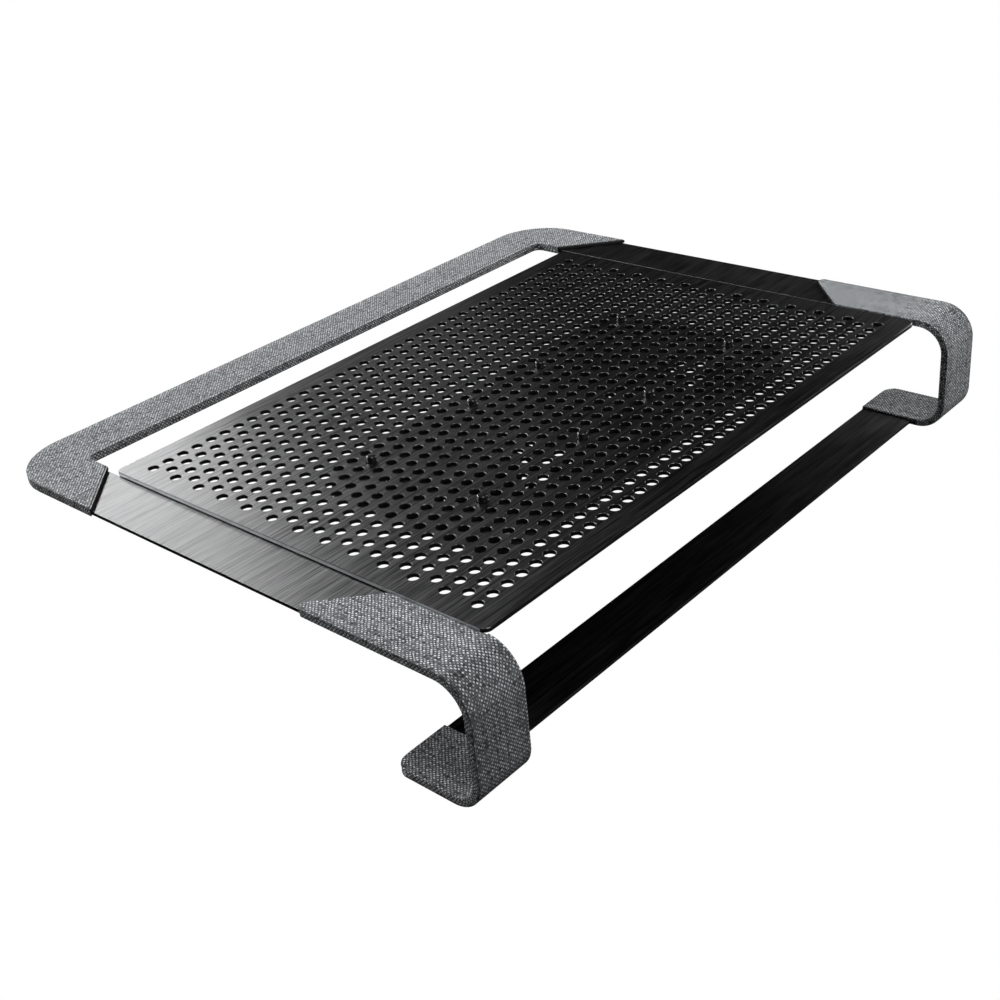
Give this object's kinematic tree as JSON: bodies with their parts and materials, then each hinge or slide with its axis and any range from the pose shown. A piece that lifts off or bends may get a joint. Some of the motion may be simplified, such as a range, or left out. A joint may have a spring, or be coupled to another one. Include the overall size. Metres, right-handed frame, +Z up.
{
  "type": "laptop cooling pad",
  "caption": "Low sloping stand for a laptop: a perforated metal plate on bent side straps with a fabric-wrapped front rail and feet, and two fan modules pegged under the plate.",
  "frame": {"origin": "on the desk plane, under the centre of the pad's outline", "axes": "+Z up from the desk, +Y from the front rail towards the raised back, +X to the user's right"},
  "size_m": [0.3646, 0.2846, 0.0627],
  "materials": {
    "black_brushed_aluminium": "black anodised, brushed along the width",
    "black_satin_metal": "satin black",
    "grey_fabric": "heather grey plain weave",
    "black_plastic": "fine texture",
    "black_gloss_plastic": "polished nylon",
    "rubber": "matt",
    "steel": "plain",
    "sintered_bronze": "porous, oiled",
    "ferrite": "as pressed",
    "copper": "enamelled wire",
    "circuit_board": "solder mask"
  },
  "bodies": {
    "frame": {"rail_core": "black_plastic", "rail_cover": "grey_fabric", "crossbar": "black_brushed_aluminium", "top_plate": "black_brushed_aluminium", "side_strap_left": "black_brushed_aluminium", "leg_cover_left": "grey_fabric", "rail_cap_left": "black_plastic", "plate_support_left": "black_satin_metal", "rail_pad_left": "rubber", "foot_pad_left": "rubber", "foot_rivet_left_1": "steel", "foot_rivet_left_2": "steel", "strap_screw_left_1": "steel", "strap_screw_left_2": "steel", "plate_screw_left_1": "steel", "plate_screw_left_2": "steel", "side_strap_right": "black_brushed_aluminium", "leg_cover_right": "grey_fabric", "rail_cap_right": "black_plastic", "plate_support_right": "black_satin_metal", "rail_pad_right": "rubber", "foot_pad_right": "rubber", "foot_rivet_right_1": "steel", "foot_rivet_right_2": "steel", "strap_screw_right_1": "steel", "strap_screw_right_2": "steel", "plate_screw_right_1": "steel", "plate_screw_right_2": "steel"},
    "fan_left": {"fan_left_frame": "black_plastic", "fan_left_bearing": "sintered_bronze", "fan_left_stator_core": "steel", "fan_left_windings": "copper", "fan_left_drive_board": "circuit_board", "fan_left_power_socket": "black_plastic", "fan_left_peg_front_left": "black_gloss_plastic", "fan_left_peg_front_right": "black_gloss_plastic", "fan_left_peg_back_left": "black_gloss_plastic", "fan_left_peg_back_right": "black_gloss_plastic"},
    "fan_right": {"fan_right_frame": "black_plastic", "fan_right_bearing": "sintered_bronze", "fan_right_stator_core": "steel", "fan_right_windings": "copper", "fan_right_drive_board": "circuit_board", "fan_right_power_socket": "black_plastic", "fan_right_peg_front_left": "black_gloss_plastic", "fan_right_peg_front_right": "black_gloss_plastic", "fan_right_peg_back_left": "black_gloss_plastic", "fan_right_peg_back_right": "black_gloss_plastic"},
    "impeller_left": {"fan_left_impeller": "black_plastic", "fan_left_magnet_ring": "ferrite", "fan_left_shaft": "steel", "fan_left_retaining_clip": "black_plastic"},
    "impeller_right": {"fan_right_impeller": "black_plastic", "fan_right_magnet_ring": "ferrite", "fan_right_shaft": "steel", "fan_right_retaining_clip": "black_plastic"}
  },
  "joints": [
    {"name": "fan_left_release", "type": "slide", "parent": "frame", "child": "fan_left", "axis": [0, 0.2156, -0.9765], "range_m": [0, 0.012]},
    {"name": "fan_right_release", "type": "slide", "parent": "frame", "child": "fan_right", "axis": [0, 0.2156, -0.9765], "range_m": [0, 0.012]},
    {"name": "impeller_left_spin", "type": "hinge", "parent": "fan_left", "child": "impeller_left", "pos_m": [-0.0521, 0.02937, 0.03492], "axis": [0, -0.2156, 0.9765], "continuous": true},
    {"name": "impeller_right_spin", "type": "hinge", "parent": "fan_right", "child": "impeller_right", "pos_m": [0.0585, 0.02937, 0.03492], "axis": [0, -0.2156, 0.9765], "continuous": true}
  ]
}
